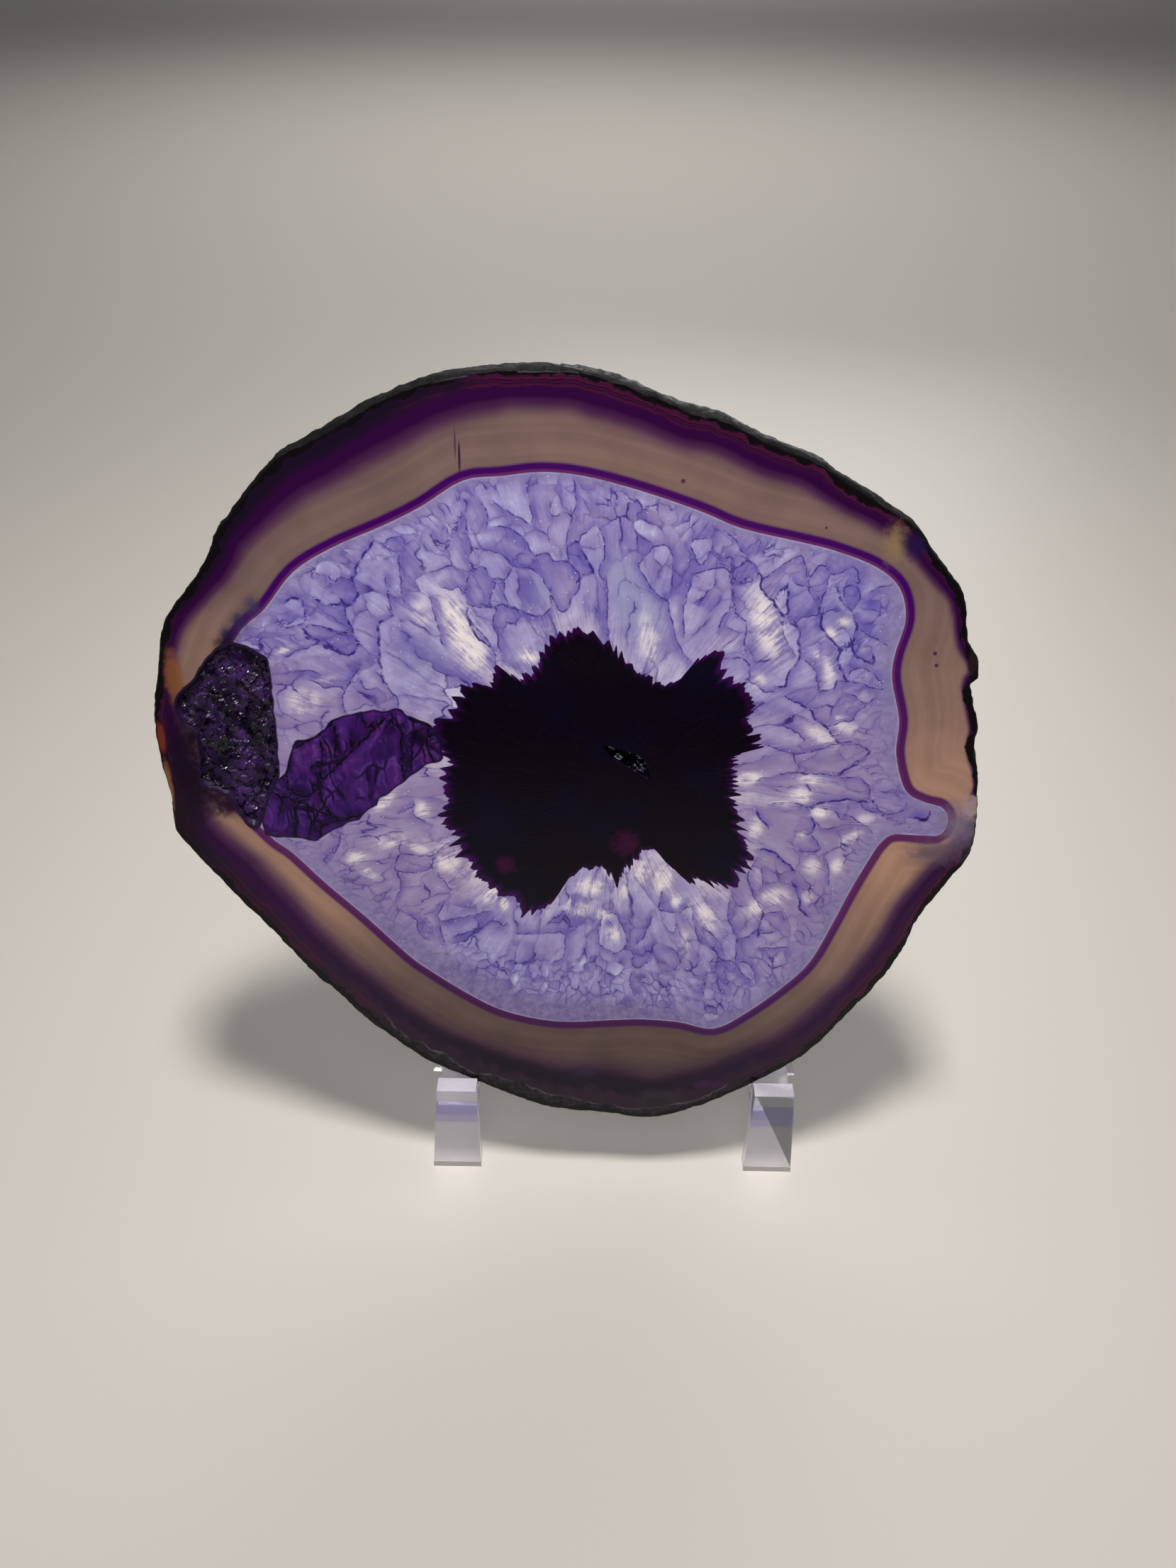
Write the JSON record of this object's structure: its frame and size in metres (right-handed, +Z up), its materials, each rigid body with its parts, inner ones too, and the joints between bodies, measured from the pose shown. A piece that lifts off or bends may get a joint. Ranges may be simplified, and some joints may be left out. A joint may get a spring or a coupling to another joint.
{
  "type": "agate slice on easel",
  "caption": "Polished purple agate slice with a rough dark rim and a crystal-lined hollow, leaning on a clear acrylic display easel.",
  "frame": {"origin": "on the surface that the easel stands on, at the middle of the model's bounding box seen from above", "axes": "+Z up, +X to the right as seen from the front, the polished face looks along -Y and leans back towards +Y"},
  "size_m": [0.1396, 0.062, 0.1462],
  "materials": {
    "agate": "polished face, rough rim",
    "quartz_crystals": "small bright crystals",
    "pocket_crystals": "dark, rough, sparkling",
    "clear_acrylic": "clear and glossy, frosted sawn top edges"
  },
  "bodies": {
    "root": {"agate_slice": "agate", "slit_crystals": "quartz_crystals", "pocket_crystals": "pocket_crystals", "easel": "clear_acrylic"}
  },
  "joints": []
}
